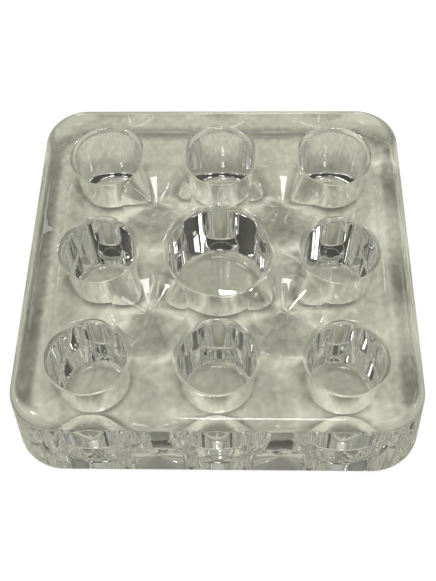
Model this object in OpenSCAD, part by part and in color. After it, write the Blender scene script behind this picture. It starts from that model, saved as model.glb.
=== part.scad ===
// Square block of clear glass with nine round wells and four conical dimples in its top face.
// The origin is the middle of the flat underside, +Z is up, and all sizes are in millimetres.

/* [Block] */
// Length of the straight stretch of each side, between two rounded corners
straight_len = 76; // [76:2:90]
// Height of the block, underside to top face
block_h = 24; // [23.5:0.5:40]
// Draft of the sides from upright: the block is widest at its base, in degrees
side_draft = 4.5; // [0.5:0.5:5]
// Radius of the four upright corners, at the top face
corner_r = 11; // [8:0.5:12]
// Rounding of the edge around the top face
top_round = 3.3; // [1.5:0.1:4.5]
// Rounding of the edge around the underside
base_round = 1.4; // [0.5:0.1:2]

/* [Wells] */
// Distance between neighbouring well axes
well_pitch = 31; // [30.9:0.1:32]
// Depth of every well below the top face
well_depth = 21.1; // [10:0.1:21.5]
// Radius of an outer well's wall at its floor
outer_foot_r = 9.1; // [7:0.1:9.3]
// Rounding between wall and floor in an outer well
outer_floor_round = 1.5; // [0.5:0.1:3]
// Radius of the centre well's wall at its floor
centre_foot_r = 12.9; // [10:0.1:13.2]
// Rounding between wall and floor in the centre well
centre_floor_round = 2; // [0.5:0.1:3]
// Draft of the well walls from upright, in degrees
well_draft = 0.8; // [0.4:0.1:1.3]
// Rounding of the lip at each well's mouth
lip_round = 1; // [0.5:0.1:1.2]

/* [Dimples] */
// Distance of each dimple's axis from the block's two middle planes
dimple_offset = 16.9; // [16.8:0.1:17]
// Depth of each dimple below the top face
dimple_depth = 3.9; // [2:0.1:3.9]
// Slope of the cone below the top face, in degrees
dimple_slope = 25; // [25:1:45]
// Rounding of the shoulder at the dimple's mouth
dimple_round = 5; // [1:0.1:5]
// Radius of the blunt tip at the bottom of the cone
dimple_tip_r = 0.4; // [0.1:0.1:0.5]

/* [Hidden] */
$fn = 96;
glass_tint = [0.78, 0.80, 0.72, 0.5];

// How far the sides lean out from the top face down to the underside
flare = block_h * tan(side_draft);
// Distance of the corners' upright axes from the block's two middle planes
corner_axis = straight_len / 2;
// Height of the well floors above the underside
floor_z = block_h - well_depth;
// Angle at which a round crosses the faces that it joins, so that no two surfaces just touch
crossing = 4;
// Length by which each cutter runs on past the faces that it cuts
run_out = 2;

// What the round of radius r between a side and the top face (top) or the underside takes off
module edge_waste(r, top) {
    inset = r * cos(crossing);
    round_z = top ? block_h - inset : inset;
    round_x = corner_r + (block_h - round_z) * tan(side_draft) - inset / cos(side_draft);
    side_z = round_z + r * sin(side_draft);
    difference() {
        translate([round_x, top ? side_z : -run_out])
            square([r + run_out, top ? r + run_out : side_z + run_out]);
        translate([round_x, round_z]) circle(r);
    }
}

// Half section of the block's rim: its outer side leans, and both of its edges are rounded
module rim_section() {
    difference() {
        polygon([[0, 0], [corner_r + flare, 0], [corner_r, block_h], [0, block_h]]);
        edge_waste(top_round, true);
        edge_waste(base_round, false);
    }
}

// One rounded corner of the block and the straight side that follows it
module corner_and_side() {
    translate([corner_axis, corner_axis, 0]) {
        rotate_extrude(angle = 90) rim_section();
        rotate([90, 0, 0]) linear_extrude(straight_len) rim_section();
    }
}

// The block before its wells and dimples are cut
module solid_block() {
    translate([-corner_axis, -corner_axis, 0]) cube([straight_len, straight_len, block_h]);
    for (turn = [0:3]) rotate([0, 0, 90 * turn]) corner_and_side();
}

// Half section of a round hollow in the top face. Its flat bottom has radius foot_r at height foot_z,
// its wall leans outwards by lean degrees from upright, and its mouth rolls over with a round of mouth_r.
module hollow_section(foot_r, foot_z, lean, mouth_r) {
    inset = mouth_r * cos(crossing);
    round_z = block_h - inset;
    round_x = foot_r + (round_z - foot_z) * tan(lean) + inset / cos(lean);
    difference() {
        polygon([
            [0, foot_z],
            [foot_r, foot_z],
            [round_x - inset * cos(lean), round_z + inset * sin(lean)],
            [round_x, round_z],
            [round_x, block_h + run_out],
            [0, block_h + run_out]
        ]);
        translate([round_x, round_z]) circle(mouth_r);
    }
}

// The sharp corner between a well's wall and floor, less the round that hollows it out
module floor_corner(foot_r, floor_round) {
    inset = floor_round * cos(crossing);
    round_x = foot_r + inset * tan(well_draft) - inset / cos(well_draft);
    difference() {
        translate([round_x, floor_z - run_out]) square([foot_r, inset + run_out]);
        translate([round_x, floor_z + inset]) circle(floor_round);
    }
}

// Cutter for one well
module well(foot_r, floor_round) {
    rotate_extrude() difference() {
        hollow_section(foot_r, floor_z, well_draft, lip_round);
        floor_corner(foot_r, floor_round);
    }
}

// Cutter for one dimple: a shallow cone with a blunt tip and a softly rolled shoulder
module dimple() {
    rotate_extrude() hollow_section(dimple_tip_r, block_h - dimple_depth, 90 - dimple_slope, dimple_round);
}

// The whole object is this one piece of glass
module glass_block() {
    color(glass_tint) difference() {
        solid_block();
        well(centre_foot_r, centre_floor_round);
        for (column = [-1:1], row = [-1:1])
            if (column != 0 || row != 0)
                translate([column * well_pitch, row * well_pitch, 0]) well(outer_foot_r, outer_floor_round);
        for (side = [-1, 1], end = [-1, 1])
            translate([side * dimple_offset, end * dimple_offset, 0]) dimple();
    }
}

glass_block();
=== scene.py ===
import math

import bmesh
import bpy
import numpy
from mathutils import Matrix, Vector, noise
from mathutils.bvhtree import BVHTree
from mathutils.geometry import delaunay_2d_cdt
from mathutils.interpolate import poly_3d_calc


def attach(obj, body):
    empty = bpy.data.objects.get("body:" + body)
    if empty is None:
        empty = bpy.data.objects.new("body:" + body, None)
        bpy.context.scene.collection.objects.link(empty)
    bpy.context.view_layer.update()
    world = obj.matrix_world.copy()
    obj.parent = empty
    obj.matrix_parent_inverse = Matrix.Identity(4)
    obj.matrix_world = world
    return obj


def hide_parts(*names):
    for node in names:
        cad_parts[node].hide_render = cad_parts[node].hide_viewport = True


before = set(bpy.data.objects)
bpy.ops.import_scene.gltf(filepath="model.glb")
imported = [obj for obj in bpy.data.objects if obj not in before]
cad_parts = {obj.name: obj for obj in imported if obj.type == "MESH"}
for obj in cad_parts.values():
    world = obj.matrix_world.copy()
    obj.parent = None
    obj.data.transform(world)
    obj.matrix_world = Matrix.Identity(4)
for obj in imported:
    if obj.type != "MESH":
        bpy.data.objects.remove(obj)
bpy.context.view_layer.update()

# Lengths below are in millimetres, in the CAD's frame: origin in the middle of the underside, +Z up.
MM = 0.001

# The block
HEIGHT = 24.0
CORNER_AXIS = 38.0
CORNER_R = 11.0
SIDE_DRAFT = math.radians(4.5)
TOP_ROUND = 3.29
BASE_ROUND = 1.39

# The wells; each lip's round rolls out by LIP_REACH from the wall and meets the top face in a faint crease
PITCH = 31.0
FLOOR_Z = 2.9
WELL_DRAFT = math.radians(0.8)
LIP_ROUND = 1.45
LIP_REACH = 1.1
OUTER_FOOT_R = 9.1
OUTER_FLOOR_ROUND = 1.5
CENTRE_FOOT_R = 12.9
CENTRE_FLOOR_ROUND = 2.0

# The dimples; the slope runs from the crease at the mouth, over the shoulder's round, to the cone's
DIMPLE_OFFSET = 16.9
DIMPLE_MOUTH_R = 9.35
DIMPLE_SLOPE = math.radians(25.0)
DIMPLE_ROUND = 11.9
DIMPLE_CREASE = math.radians(14.0)
DIMPLE_TIP_ROUND = 3.0

# Mesh density: steps round each hollow, corner and side, steps along each round and each straight stretch,
# the spacing of the flat faces' field, and the distances of the collars from each mouth.
# HOLD keeps the shading of flat stretches flat, close up to the rounds.
WELL_STEPS = 128
DIMPLE_STEPS = 108
CORNER_STEPS = 32
SIDE_STEPS = 40
GRID_STEP = 1.0
HOLD = 0.16
COLLARS = (0.15, 0.35, 0.6, 0.9, 1.25)
COLLAR_STEPS = 72
COLLAR_GAP = 0.3
ROW_SPACING = 0.87
LIP_STEPS = 14
FOOT_STEPS = 12
WALL_STEPS = 12
WELL_FLOOR_STEPS = 6
POLE_RING_R = 0.6
SHOULDER_STEPS = 10
CONE_STEPS = 8
TIP_STEPS = 7
TOP_ROUND_STEPS = 18
BASE_ROUND_STEPS = 14

# Fire-polished surface: how far it undulates, and over what distance
WAVE_DEPTH = 0.03
WAVE_LENGTH = 9.0
RIPPLE_DEPTH = 0.006
RIPPLE_LENGTH = 3.6

# The glass: noise scales per metre, the range of its roughness, the depth of its orange peel in metres,
# and its faint cast where palest and deepest
WEAR_SCALE = 70.0
WEAR_ROUGHNESS = (0.0, 0.012)
PEEL_SCALE = 420.0
PEEL_DEPTH = 0.000005
CAST_SCALE = 25.0
CAST_PALE = (0.99, 0.993, 0.982, 1.0)
CAST_DEEP = (0.98, 0.987, 0.968, 1.0)

# Light traced through the glass and painted onto the table as glow: the most surfaces that a ray may meet,
# how far back it starts, its nudge past each surface, the flattest ray that counts, the rays' spacing and
# reach, and the table's cells
GLASS_IOR = 1.5
RAY_STEPS = 12
RAY_START = 90.0
RAY_NUDGE = 1e-3
GRAZING = -0.05
RAY_SEED = 7
SOFTEN_PASSES = 2
RAY_STEP = 0.5
RAY_REACH = 76.0
TABLE_STEP = 0.4
TABLE_REACH = 72.0

# The floor: its lines beyond the table's cells, and how far it lies below the glass
FLOOR_LINES = (250.0, 1000.0, 4000.0)
FLOOR_GAP = 0.1

# The table's tone as the glass shows it, and the floor's tone and added brightness as the camera sees it
TABLE_COLOR = (0.335, 0.338, 0.283, 1.0)
FLOOR_COLOR = (0.92, 0.92, 0.92, 1.0)
FLOOR_LIFT = (0.7, 0.7, 0.7, 1.0)

# Lamps bright enough to throw light through the glass onto the table; that light, and the glass's shadow,
# are painted onto the table as glow.
# Name, azimuth from behind the object towards the right, elevation, size (degrees), radiance, colour
KEY_LAMPS = (
    ("back_lamp", 0.0, 57.9, 2.6, 60.0, (1.0, 1.0, 0.98)),
    ("overhead_lamp", 172.0, 77.5, 11.0, 14.0, (1.0, 1.0, 0.97)),
    ("left_lamp", -101.0, 59.5, 6.5, 28.0, (1.0, 0.99, 0.97)),
)

# Lamps that only the table gets: their light is traced and painted onto it, and they aren't built as lights
SMALL_LAMPS = (
    ("overhead_core", 175.0, 77.0, 3.0, 290.0, (1.0, 1.0, 0.98)),
    ("zenith", 0.0, 88.0, 4.0, 77.0, (1.0, 1.0, 0.98)),
    ("high_right", 122.0, 77.0, 4.0, 132.0, (1.0, 1.0, 0.98)),
    ("low_left", -101.0, 37.0, 3.0, 300.0, (1.0, 1.0, 0.98)),
    ("low_front_left", -79.0, 37.0, 4.0, 75.0, (1.0, 1.0, 0.98)),
    ("mid_left", -64.0, 57.0, 4.0, 92.0, (1.0, 1.0, 0.98)),
)

# Lamps that only glint in the walls of the wells
GLINT_LAMPS = (
    ("glint_far_left", -39.0, 52.0, 6.0, 1.6, (1.0, 0.93, 0.9)),
    ("glint_left", -27.0, 50.5, 5.0, 4.5, (1.0, 1.0, 1.0)),
    ("glint_middle", -4.0, 53.5, 5.0, 1.6, (1.0, 0.98, 0.94)),
    ("glint_right", 20.0, 53.0, 5.0, 1.1, (1.0, 0.92, 0.86)),
    ("glint_near_right", 34.0, 54.0, 5.5, 4.0, (1.0, 1.0, 0.98)),
    ("glint_low_right", 38.0, 35.0, 6.0, 2.5, (1.0, 1.0, 0.98)),
    ("glint_far_right", 66.0, 53.0, 6.0, 6.0, (1.0, 1.0, 1.0)),
)

# Distance of every lamp, in metres
LAMP_DISTANCE = 1.2

# Lamps that glint on the outside of the glass and aren't seen through it
HIDDEN_THROUGH_GLASS = ("left_lamp",)

# The dome: brightness against the height of the direction, tint, and the backdrop that the camera sees;
# the glow in front; the soft light that the floor gets
DOME_STOPS = ((0.0, 0.14), (0.25, 0.24), (0.5, 0.18), (0.7, 0.035), (0.86, 0.035), (0.93, 0.2), (1.0, 0.5))
WORLD_TINT = (1.0, 1.0, 0.9, 1.0)
BACKDROP_COLOR = (0.93, 0.93, 0.93, 1.0)
GLOW_ELEVATION = 45.0
GLOW_REACH = 55.0
GLOW_RADIANCE = 0.35
FLOOR_FILL = 0.72

# Camera, from the photograph's perspective; its lens in millimetres on a sensor 36 mm wide
CAMERA_AT = (5.747, -130.34, 214.77)
CAMERA_YAW = math.radians(2.774)
CAMERA_PITCH = math.radians(58.259)
CAMERA_ROLL = math.radians(2.16)
CAMERA_LENS = 55.76
SENSOR_WIDTH = 36.0


def arc(centre, radius, start, end, steps):
    """Points along a circle's arc, both ends included; angles in radians."""
    points = []
    for i in range(steps + 1):
        a = start + (end - start) * i / steps
        points.append((centre[0] + radius * math.cos(a), centre[1] + radius * math.sin(a)))
    return points


def straight(a, b, steps):
    """Points between a and b, ends left out, with one close to each end so that the shading stays flat."""
    length = math.dist(a, b)
    hold = min(HOLD / length, 0.2)
    shares = [hold]
    shares += [hold + (1 - 2 * hold) * i / steps for i in range(1, steps)]
    shares.append(1 - hold)
    return [(a[0] + (b[0] - a[0]) * s, a[1] + (b[1] - a[1]) * s) for s in shares]


def lip_centre(foot_r):
    """Centre of the lip's round in a well's half section; it ends in a faint crease on the top face."""
    wall_r = foot_r + (HEIGHT - LIP_ROUND - FLOOR_Z) * math.tan(WELL_DRAFT)
    lip_x = wall_r + LIP_ROUND / math.cos(WELL_DRAFT)
    inset = LIP_ROUND - LIP_REACH
    return lip_x, HEIGHT - math.sqrt(LIP_ROUND ** 2 - inset ** 2)


def shoulder_centre():
    """Centre of the shoulder's round in a dimple's half section; it meets the top face in a crease."""
    round_x = DIMPLE_MOUTH_R + DIMPLE_ROUND * math.sin(DIMPLE_CREASE)
    return round_x, HEIGHT - DIMPLE_ROUND * math.cos(DIMPLE_CREASE)


def well_profile(foot_r, floor_round):
    """Half section of a well from its mouth's crease, over the lip, down the wall and over the floor."""
    lip_x, lip_z = lip_centre(foot_r)
    ring_r = lip_x - LIP_ROUND + LIP_REACH
    start = math.acos((ring_r - lip_x) / LIP_ROUND)
    lip = arc((lip_x, lip_z), LIP_ROUND, start, math.pi - WELL_DRAFT, LIP_STEPS)
    foot_x = foot_r + floor_round * (math.tan(WELL_DRAFT) - 1 / math.cos(WELL_DRAFT))
    foot = arc((foot_x, FLOOR_Z + floor_round), floor_round, -WELL_DRAFT, -math.pi / 2, FOOT_STEPS)
    rings = list(lip)
    rings += straight(lip[-1], foot[0], WALL_STEPS)
    rings += foot
    rings += straight(foot[-1], (POLE_RING_R, FLOOR_Z), WELL_FLOOR_STEPS)
    return rings


def dimple_profile():
    """Half section of a dimple and the height of its pole: soft shoulder, straight cone, rounded tip."""
    round_x, round_z = shoulder_centre()
    start = math.acos((DIMPLE_MOUTH_R - round_x) / DIMPLE_ROUND)
    shoulder = arc((round_x, round_z), DIMPLE_ROUND, start, math.pi / 2 + DIMPLE_SLOPE, SHOULDER_STEPS)
    cone_end = DIMPLE_TIP_ROUND * math.sin(DIMPLE_SLOPE)
    end_z = shoulder[-1][1] - (shoulder[-1][0] - cone_end) * math.tan(DIMPLE_SLOPE)
    tip_centre = (0.0, end_z + DIMPLE_TIP_ROUND * math.cos(DIMPLE_SLOPE))
    tip = arc(tip_centre, DIMPLE_TIP_ROUND, DIMPLE_SLOPE - math.pi / 2, -math.pi / 2, TIP_STEPS)
    rings = list(shoulder)
    rings += straight(shoulder[-1], (cone_end, end_z), CONE_STEPS)
    rings += tip[:-1]
    return rings, tip[-1][1]


def hollows():
    """Every hollow in the top face: its centre, half section, pole height and steps around it."""
    found = []
    for column in (-1, 0, 1):
        for row in (-1, 0, 1):
            middle = column == 0 and row == 0
            foot = CENTRE_FOOT_R if middle else OUTER_FOOT_R
            profile = well_profile(foot, CENTRE_FLOOR_ROUND if middle else OUTER_FLOOR_ROUND)
            centre = (column * PITCH, row * PITCH)
            found.append((centre, profile, FLOOR_Z, WELL_STEPS))
    for side in (-1, 1):
        for end in (-1, 1):
            centre = (side * DIMPLE_OFFSET, end * DIMPLE_OFFSET)
            profile, pole_z = dimple_profile()
            found.append((centre, profile, pole_z, DIMPLE_STEPS))
    return found


def rim_profile():
    """Section of the rim from the top face to the underside; x is measured from the corner's axis."""
    top_z = HEIGHT - TOP_ROUND
    top_x = CORNER_R + TOP_ROUND * math.tan(SIDE_DRAFT) - TOP_ROUND / math.cos(SIDE_DRAFT)
    base_x = CORNER_R + (HEIGHT - BASE_ROUND) * math.tan(SIDE_DRAFT) - BASE_ROUND / math.cos(SIDE_DRAFT)
    top = arc((top_x, top_z), TOP_ROUND, math.pi / 2, SIDE_DRAFT, TOP_ROUND_STEPS)
    base = arc((base_x, BASE_ROUND), BASE_ROUND, SIDE_DRAFT, -math.pi / 2, BASE_ROUND_STEPS)
    section = [(top_x - HOLD, HEIGHT)]
    section += top
    section += straight(top[-1], base[0], WALL_STEPS)
    section += base
    section.append((base_x - HOLD, 0.0))
    return section


def rim_path():
    """Directions round the block: the point on the corner-axis square, and the outward direction there."""
    path = []
    for turn in range(4):
        spin = Matrix.Rotation(turn * math.pi / 2, 2)
        corner = spin @ Vector((CORNER_AXIS, CORNER_AXIS))
        for i in range(CORNER_STEPS + 1):
            a = (turn + i / CORNER_STEPS) * math.pi / 2
            path.append((corner, Vector((math.cos(a), math.sin(a)))))
        out = Vector((math.cos((turn + 1) * math.pi / 2), math.sin((turn + 1) * math.pi / 2)))
        following = spin @ Vector((-CORNER_AXIS, CORNER_AXIS))
        for i in range(1, SIDE_STEPS):
            path.append((corner.lerp(following, i / SIDE_STEPS), out))
    return path


def add_ring(bm, points, z):
    """New vertices at the points, all at one height."""
    return [bm.verts.new((x, y, z)) for x, y in points]


def bridge(bm, ring_a, ring_b):
    """Quads between two closed rings that run the same way round."""
    count = len(ring_a)
    for i in range(count):
        j = (i + 1) % count
        bm.faces.new((ring_a[i], ring_b[i], ring_b[j], ring_a[j]))


def sweep_rim(bm):
    """The rim; returns its ring on the top face and its ring on the underside."""
    path = rim_path()
    rings = []
    for x, z in rim_profile():
        rings.append(add_ring(bm, [tuple(at + out * x) for at, out in path], z))
    for upper, lower in zip(rings, rings[1:]):
        bridge(bm, upper, lower)
    return rings[0], rings[-1]


def revolve(bm, hollow):
    """A round hollow in the top face, closed by a pole; returns the ring at its mouth."""
    centre, profile, pole_z, steps = hollow
    rings = []
    for r, z in profile:
        turn = [math.tau * i / steps for i in range(steps)]
        points = [(centre[0] + r * math.cos(a), centre[1] + r * math.sin(a)) for a in turn]
        rings.append(add_ring(bm, points, z))
    for outer, inner in zip(rings, rings[1:]):
        bridge(bm, inner, outer)
    pole = bm.verts.new((centre[0], centre[1], pole_z))
    last = rings[-1]
    for i in range(steps):
        bm.faces.new((last[i], last[(i + 1) % steps], pole))
    return rings[0]


def inside_rim(x, y, margin):
    """True if a point lies within the rim's ring on the top face, at least margin from it."""
    reach = rim_profile()[0][0] - margin
    over_x = max(abs(x) - CORNER_AXIS, 0.0)
    over_y = max(abs(y) - CORNER_AXIS, 0.0)
    return math.hypot(over_x, over_y) < reach


def flat_points(holes):
    """Points to spread over a flat face: an even field, and collars close round each hole."""
    points = []
    reach = int((CORNER_AXIS + CORNER_R) / GRID_STEP) + 1
    for i in range(-reach, reach + 1):
        for j in range(-reach, reach + 1):
            x = (i + 0.5 * (j % 2)) * GRID_STEP
            y = j * GRID_STEP * ROW_SPACING
            outside = all(math.dist((x, y), c) > r + COLLARS[-1] + COLLAR_GAP for c, r in holes)
            if outside and inside_rim(x, y, GRID_STEP * 0.6):
                points.append((x, y))
    for number, (c, r) in enumerate(holes):
        others = holes[:number] + holes[number + 1:]
        for order, collar in enumerate(COLLARS):
            for k in range(COLLAR_STEPS):
                a = math.tau * (k + 0.5 * (order % 2)) / COLLAR_STEPS
                x = c[0] + (r + collar) * math.cos(a)
                y = c[1] + (r + collar) * math.sin(a)
                nearest = min(math.dist((x, y), other_c) - other_r for other_c, other_r in others)
                if nearest > collar + 0.05:
                    points.append((x, y))
    return points


def fill_flat(bm, outline, rings, holes, z, up):
    """Triangles over a flat face, from the outline's ring to the holes' rings."""
    verts = [v for ring in [outline] + rings for v in ring]
    edges = []
    start = 0
    for ring in [outline] + rings:
        count = len(ring)
        edges += [(start + i, start + (i + 1) % count) for i in range(count)]
        start += count
    for x, y in flat_points(holes):
        verts.append(bm.verts.new((x, y, z)))
    flat = [Vector((v.co.x, v.co.y)) for v in verts]
    made = delaunay_2d_cdt(flat, edges, [], 1, 1e-6)
    for face in made[2]:
        corners = [verts[made[3][k][0]] for k in face]
        mid_x = sum(v.co.x for v in corners) / 3
        mid_y = sum(v.co.y for v in corners) / 3
        if any(math.dist((mid_x, mid_y), c) < r for c, r in holes):
            continue
        side = (corners[1].co.xy - corners[0].co.xy).cross(corners[2].co.xy - corners[0].co.xy)
        if (side > 0) != up:
            corners.reverse()
        bm.faces.new(corners)


def wave(p, length, seed):
    """Smooth noise between 0 and 1 at a point in millimetres."""
    shift = Vector((seed * 17.3, seed * 5.1, seed * 29.7))
    return 0.5 + 0.5 * max(-1.0, min(1.0, noise.noise(p / length + shift)))


def fire_polish(bm):
    """Lets the skin sink a few hundredths of a millimetre in slow waves, as pressed glass cools."""
    bm.normal_update()
    moves = []
    for v in bm.verts:
        depth = WAVE_DEPTH * wave(v.co, WAVE_LENGTH, 1) + RIPPLE_DEPTH * wave(v.co, RIPPLE_LENGTH, 2)
        moves.append(v.normal * -depth)
    for v, move in zip(bm.verts, moves):
        v.co += move


def skin_for_rays(bm):
    """What the light tracing needs of the glass: a search tree, and each face's corners and soft normals."""
    bm.normal_update()
    tree = BVHTree.FromBMesh(bm)
    bm.faces.ensure_lookup_table()
    faces = [([v.co.copy() for v in f.verts], [v.normal.copy() for v in f.verts]) for f in bm.faces]
    return tree, faces


def build_glass():
    """The whole block of glass as one closed mesh, and its skin in millimetres for light tracing."""
    bm = bmesh.new()
    top_ring, base_ring = sweep_rim(bm)
    cut = hollows()
    rings = [revolve(bm, h) for h in cut]
    holes = [(h[0], h[1][0][0]) for h in cut]
    fill_flat(bm, top_ring, rings, holes, HEIGHT, True)
    fill_flat(bm, base_ring, [], [], 0.0, False)
    fire_polish(bm)
    skin = skin_for_rays(bm)
    bmesh.ops.scale(bm, vec=(MM, MM, MM), verts=bm.verts)
    for face in bm.faces:
        face.smooth = True
    mesh = bpy.data.meshes.new("glass_block_pressed")
    bm.to_mesh(mesh)
    bm.free()
    block = bpy.data.objects.new("pressed_glass_block", mesh)
    bpy.context.scene.collection.objects.link(block)
    return block, skin


def fine_noise(nodes, links, where, scale, detail):
    """A noise texture over the object's own coordinates, in metres."""
    texture = nodes.new("ShaderNodeTexNoise")
    texture.inputs["Scale"].default_value = scale
    texture.inputs["Detail"].default_value = detail
    links.new(where.outputs["Object"], texture.inputs["Vector"])
    return texture


def spread(nodes, links, value, low, high):
    """Maps the middle of a noise's range onto low to high."""
    ranged = nodes.new("ShaderNodeMapRange")
    ranged.inputs["From Min"].default_value = 0.35
    ranged.inputs["From Max"].default_value = 0.7
    ranged.inputs["To Min"].default_value = low
    ranged.inputs["To Max"].default_value = high
    links.new(value, ranged.inputs["Value"])
    return ranged.outputs["Result"]


def glass_material():
    """Clear pressed glass: a faint grey-green cast, patches of slight wear, and a fine orange peel."""
    material = bpy.data.materials.new("clear_pressed_glass")
    material.use_nodes = True
    nodes = material.node_tree.nodes
    links = material.node_tree.links
    shader = nodes["Principled BSDF"]
    shader.inputs["Transmission Weight"].default_value = 1.0
    shader.inputs["IOR"].default_value = GLASS_IOR
    where = nodes.new("ShaderNodeTexCoord")
    wear = fine_noise(nodes, links, where, WEAR_SCALE, 3.0)
    links.new(spread(nodes, links, wear.outputs["Fac"], *WEAR_ROUGHNESS), shader.inputs["Roughness"])
    cast = fine_noise(nodes, links, where, CAST_SCALE, 1.0)
    tint = nodes.new("ShaderNodeMix")
    tint.data_type = "RGBA"
    tint.inputs[6].default_value = CAST_PALE
    tint.inputs[7].default_value = CAST_DEEP
    links.new(spread(nodes, links, cast.outputs["Fac"], 0.0, 1.0), tint.inputs[0])
    links.new(tint.outputs[2], shader.inputs["Base Color"])
    peel = fine_noise(nodes, links, where, PEEL_SCALE, 2.0)
    bump = nodes.new("ShaderNodeBump")
    bump.inputs["Strength"].default_value = 1.0
    bump.inputs["Distance"].default_value = PEEL_DEPTH
    links.new(peel.outputs["Fac"], bump.inputs["Height"])
    links.new(bump.outputs["Normal"], shader.inputs["Normal"])
    return material


def bend(direction, normal, entering):
    """A ray's direction after it meets the glass, and the share of its light that goes on."""
    facing = normal if entering else -normal
    cos_in = max(-direction.dot(facing), 1e-4)
    ratio = 1 / GLASS_IOR if entering else GLASS_IOR
    rest = 1 - ratio * ratio * (1 - cos_in * cos_in)
    if rest <= 0:
        return direction + facing * (2 * cos_in), 1.0
    cos_out = math.sqrt(rest)
    across = (cos_in - cos_out / ratio) / (cos_in + cos_out / ratio)
    along = (cos_out - cos_in / ratio) / (cos_out + cos_in / ratio)
    passed = 1 - 0.5 * (across * across + along * along)
    return direction * ratio + facing * (ratio * cos_in - cos_out), passed


def follow_ray(skin, start, direction):
    """Follows a ray through the glass; returns where it meets the table and its light, or None."""
    tree, faces = skin
    light = 1.0
    for _ in range(RAY_STEPS):
        hit, flat_normal, index, _ = tree.ray_cast(start, direction)
        if hit is None:
            break
        corners, normals = faces[index]
        soft = Vector((0.0, 0.0, 0.0))
        for share, normal in zip(poly_3d_calc(corners, hit), normals):
            soft += normal * share
        direction, passed = bend(direction, soft.normalized(), direction.dot(flat_normal) < 0)
        direction.normalize()
        light *= passed
        start = hit + direction * RAY_NUDGE
    if direction.z > GRAZING:
        return None
    reach = start.z / direction.z
    return start.x - direction.x * reach, start.y - direction.y * reach, light


def toward(azimuth, elevation):
    """Unit vector to a lamp; azimuth 0 is behind the object and 90 on its right."""
    a = math.radians(azimuth)
    e = math.radians(elevation)
    return Vector((math.sin(a) * math.cos(e), math.cos(a) * math.cos(e), math.sin(e)))


def lamp_pattern(skin, lamp, edges):
    """One lamp's light on the table, past and through the glass, where 1 is its light on the bare table."""
    _, azimuth, elevation, size, _, _ = lamp
    chance = numpy.random.default_rng(RAY_SEED)
    distance = LAMP_DISTANCE / MM
    source = toward(azimuth, elevation) * distance
    width = 2 * distance * math.tan(math.radians(size / 2))
    side = Vector((0, 1, 0)).cross(source).normalized()
    up = source.cross(side).normalized()
    points = []
    count = int(2 * RAY_REACH / RAY_STEP)
    jitters = chance.random((count, count, 4))
    for i in range(count):
        for j in range(count):
            jitter = jitters[i, j]
            aim_x = -RAY_REACH + (i + jitter[0]) * RAY_STEP
            aim_y = -RAY_REACH + (j + jitter[1]) * RAY_STEP
            lamp_at = source + side * ((jitter[2] - 0.5) * width) + up * ((jitter[3] - 0.5) * width)
            aim = Vector((aim_x, aim_y, 0.0))
            direction = (aim - lamp_at).normalized()
            landed = follow_ray(skin, aim - direction * RAY_START, direction)
            if landed:
                points.append(landed)
    x, y, light = numpy.array(points).T
    cells = numpy.histogram2d(x, y, bins=(edges, edges), weights=light)[0]
    return cells * (RAY_STEP / TABLE_STEP) ** 2


def soften(cells, passes):
    """Spreads each cell a little over its neighbours."""
    for _ in range(passes):
        for axis in (0, 1):
            cells = (numpy.roll(cells, 1, axis) + 2 * cells + numpy.roll(cells, -1, axis)) / 4
    return cells


def table_light(skin):
    """Painted light and shadow: what the key and small lamps give the table's cells, and the bare table, as
    irradiance over pi.
    """
    edges = numpy.arange(-TABLE_REACH, TABLE_REACH + TABLE_STEP / 2, TABLE_STEP)
    cells = numpy.zeros((len(edges) - 1, len(edges) - 1, 3))
    bare = numpy.zeros(3)
    for lamp in KEY_LAMPS + SMALL_LAMPS:
        _, azimuth, elevation, size, radiance, color = lamp
        width = 2 * math.tan(math.radians(size / 2))
        strength = radiance * width ** 2 * math.sin(math.radians(elevation)) / math.pi * numpy.array(color)
        cells += soften(lamp_pattern(skin, lamp, edges), SOFTEN_PASSES)[:, :, None] * strength
        bare += strength
    return edges, cells, bare


def floor_material():
    """Pale floor: white to the camera, and in the glass a grey-green table with the lamps' light and the
    glass's shadow painted on it as glow.
    """
    material = bpy.data.materials.new("pale_floor")
    material.use_nodes = True
    nodes = material.node_tree.nodes
    links = material.node_tree.links
    shader = nodes["Principled BSDF"]
    shader.inputs["Roughness"].default_value = 0.9
    shader.inputs["Specular IOR Level"].default_value = 0.1
    path = nodes.new("ShaderNodeLightPath")
    tone = nodes.new("ShaderNodeMix")
    tone.data_type = "RGBA"
    tone.inputs[6].default_value = TABLE_COLOR
    tone.inputs[7].default_value = FLOOR_COLOR
    links.new(path.outputs["Is Camera Ray"], tone.inputs[0])
    links.new(tone.outputs[2], shader.inputs["Base Color"])
    # Painted light: the lamps' traced light and the glass's shadow, read from the floor and glowing for rays
    # that come through the glass
    painted_light = nodes.new("ShaderNodeAttribute")
    painted_light.attribute_name = "painted_lamp_light"
    lit = nodes.new("ShaderNodeMix")
    lit.data_type = "RGBA"
    lit.blend_type = "MULTIPLY"
    lit.inputs[0].default_value = 1.0
    lit.inputs[7].default_value = TABLE_COLOR
    links.new(painted_light.outputs["Color"], lit.inputs[6])
    shown = nodes.new("ShaderNodeMix")
    shown.data_type = "RGBA"
    shown.inputs[7].default_value = FLOOR_LIFT
    links.new(path.outputs["Is Camera Ray"], shown.inputs[0])
    links.new(lit.outputs[2], shown.inputs[6])
    links.new(shown.outputs[2], shader.inputs["Emission Color"])
    shader.inputs["Emission Strength"].default_value = 1.0
    return material


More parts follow.
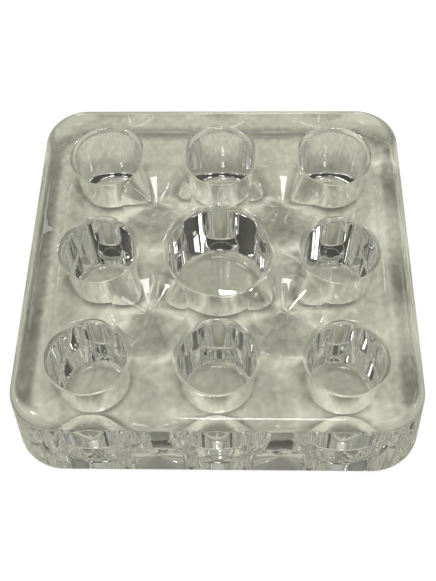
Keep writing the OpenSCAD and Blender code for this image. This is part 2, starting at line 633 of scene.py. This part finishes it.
def build_floor(skin):
    """The floor: one sheet, with cells fine enough near the glass to hold the lamps' painted light and
    shadow there.
    """
    edges, cells, bare = table_light(skin)
    lines = [-far for far in FLOOR_LINES[::-1]] + list(edges) + list(FLOOR_LINES)
    count = len(lines)
    bm = bmesh.new()
    verts = [[bm.verts.new((x * MM, y * MM, 0.0)) for y in lines] for x in lines]
    for i in range(count - 1):
        for j in range(count - 1):
            bm.faces.new((verts[i][j], verts[i + 1][j], verts[i + 1][j + 1], verts[i][j + 1]))
    mesh = bpy.data.meshes.new("floor")
    bm.to_mesh(mesh)
    bm.free()
    # Paints the lamps' traced light and the glass's shadow onto the floor's corners
    at_corners = numpy.ones((count, count, 4))
    at_corners[:, :, :3] = bare
    near = (cells[:-1, :-1] + cells[1:, :-1] + cells[:-1, 1:] + cells[1:, 1:]) / 4
    first = len(FLOOR_LINES) + 1
    at_corners[first:first + len(near), first:first + len(near), :3] = near
    layer = mesh.color_attributes.new("painted_lamp_light", "FLOAT_COLOR", "POINT")
    layer.data.foreach_set("color", at_corners.astype(numpy.float32).ravel())
    floor = bpy.data.objects.new("floor", mesh)
    floor.location = (0, 0, -FLOOR_GAP * MM)
    bpy.context.scene.collection.objects.link(floor)
    floor.data.materials.append(floor_material())
    floor.cycles.is_caustics_receiver = True


def build_world():
    """A dim studio with a dark band high up and a soft glow in front; the camera sees a pale backdrop."""
    world = bpy.data.worlds.new("studio")
    bpy.context.scene.world = world
    world.use_nodes = True
    nodes = world.node_tree.nodes
    links = world.node_tree.links
    background = nodes["Background"]
    where = nodes.new("ShaderNodeTexCoord")
    split = nodes.new("ShaderNodeSeparateXYZ")
    links.new(where.outputs["Generated"], split.inputs[0])
    ramp = nodes.new("ShaderNodeValToRGB")
    links.new(split.outputs["Z"], ramp.inputs[0])
    elements = ramp.color_ramp.elements
    while len(elements) < len(DOME_STOPS):
        elements.new(0.5)
    for element, (at, level) in zip(elements, DOME_STOPS):
        element.position = at
        element.color = (level, level, level, 1)
    facing = nodes.new("ShaderNodeVectorMath")
    facing.operation = "DOT_PRODUCT"
    facing.inputs[1].default_value = toward(180.0, GLOW_ELEVATION)
    links.new(where.outputs["Generated"], facing.inputs[0])
    glow = nodes.new("ShaderNodeMapRange")
    glow.interpolation_type = "SMOOTHSTEP"
    glow.inputs["From Min"].default_value = math.cos(math.radians(GLOW_REACH))
    glow.inputs["From Max"].default_value = 1.0
    glow.inputs["To Max"].default_value = GLOW_RADIANCE
    links.new(facing.outputs["Value"], glow.inputs["Value"])
    total = nodes.new("ShaderNodeMix")
    total.data_type = "RGBA"
    total.blend_type = "ADD"
    total.clamp_result = False
    total.inputs[0].default_value = 1.0
    links.new(ramp.outputs[0], total.inputs[6])
    links.new(glow.outputs[0], total.inputs[7])
    warm = nodes.new("ShaderNodeMix")
    warm.data_type = "RGBA"
    warm.blend_type = "MULTIPLY"
    warm.inputs[0].default_value = 1.0
    warm.inputs[7].default_value = WORLD_TINT
    links.new(total.outputs[2], warm.inputs[6])
    path = nodes.new("ShaderNodeLightPath")
    seen = nodes.new("ShaderNodeMix")
    seen.data_type = "RGBA"
    seen.inputs[7].default_value = BACKDROP_COLOR
    links.new(path.outputs["Is Camera Ray"], seen.inputs[0])
    links.new(warm.outputs[2], seen.inputs[6])
    links.new(seen.outputs[2], background.inputs["Color"])
    background.inputs["Strength"].default_value = 1.0


def area_light(name, azimuth, elevation, size, radiance, color):
    """A square softbox in the given direction, facing the object."""
    width = 2 * LAMP_DISTANCE * math.tan(math.radians(size / 2))
    data = bpy.data.lights.new(name, "AREA")
    data.shape = "SQUARE"
    data.size = width
    data.energy = radiance * math.pi * width * width
    data.color = color
    lamp = bpy.data.objects.new(name, data)
    lamp.location = toward(azimuth, elevation) * LAMP_DISTANCE
    lamp.rotation_mode = "QUATERNION"
    lamp.rotation_quaternion = lamp.location.to_track_quat("Z", "Y")
    bpy.context.scene.collection.objects.link(lamp)
    return lamp


def build_lights():
    """The small lamps that glint in the glass, and the soft light that the floor gets."""
    for lamp in KEY_LAMPS + GLINT_LAMPS:
        light = area_light(*lamp)
        light.visible_diffuse = False
        light.data.cycles.is_caustics_light = True
        light.visible_transmission = lamp[0] not in HIDDEN_THROUGH_GLASS
    soft = area_light("soft_overhead", 0.0, 88.0, 60.0, FLOOR_FILL, (1.0, 1.0, 1.0))
    soft.visible_glossy = False
    soft.visible_transmission = False


def build_camera():
    """The photograph's own view: a look down at the block from in front, very slightly rolled."""
    yaw = CAMERA_YAW
    pitch = CAMERA_PITCH
    roll = CAMERA_ROLL
    ahead = Vector((-math.sin(yaw) * math.cos(pitch), math.cos(yaw) * math.cos(pitch), -math.sin(pitch)))
    level_right = Vector((math.cos(yaw), math.sin(yaw), 0.0))
    level_up = level_right.cross(ahead)
    right = level_right * math.cos(roll) - level_up * math.sin(roll)
    up = level_right * math.sin(roll) + level_up * math.cos(roll)
    data = bpy.data.cameras.new("camera")
    data.lens = CAMERA_LENS
    data.sensor_width = SENSOR_WIDTH
    camera = bpy.data.objects.new("camera", data)
    turn = Matrix((right, up, -ahead)).transposed().to_4x4()
    camera.matrix_world = Matrix.Translation(Vector(CAMERA_AT) * MM) @ turn
    bpy.context.scene.collection.objects.link(camera)
    bpy.context.scene.camera = camera


def tune_render():
    """Enough bounces for light to find its way through the glass, and plain colours."""
    scene = bpy.context.scene
    scene.view_settings.view_transform = "Standard"
    cycles = scene.cycles
    cycles.max_bounces = 32
    cycles.transmission_bounces = 32
    cycles.glossy_bounces = 16
    cycles.diffuse_bounces = 4
    cycles.caustics_refractive = True
    cycles.caustics_reflective = True
    cycles.sample_clamp_indirect = 6.0
    cycles.use_denoising = True


block, skin = build_glass()
block.data.materials.append(glass_material())
block.cycles.is_caustics_caster = True
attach(block, "root")
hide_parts("glass_block")
build_floor(skin)
build_world()
build_lights()
build_camera()
tune_render()
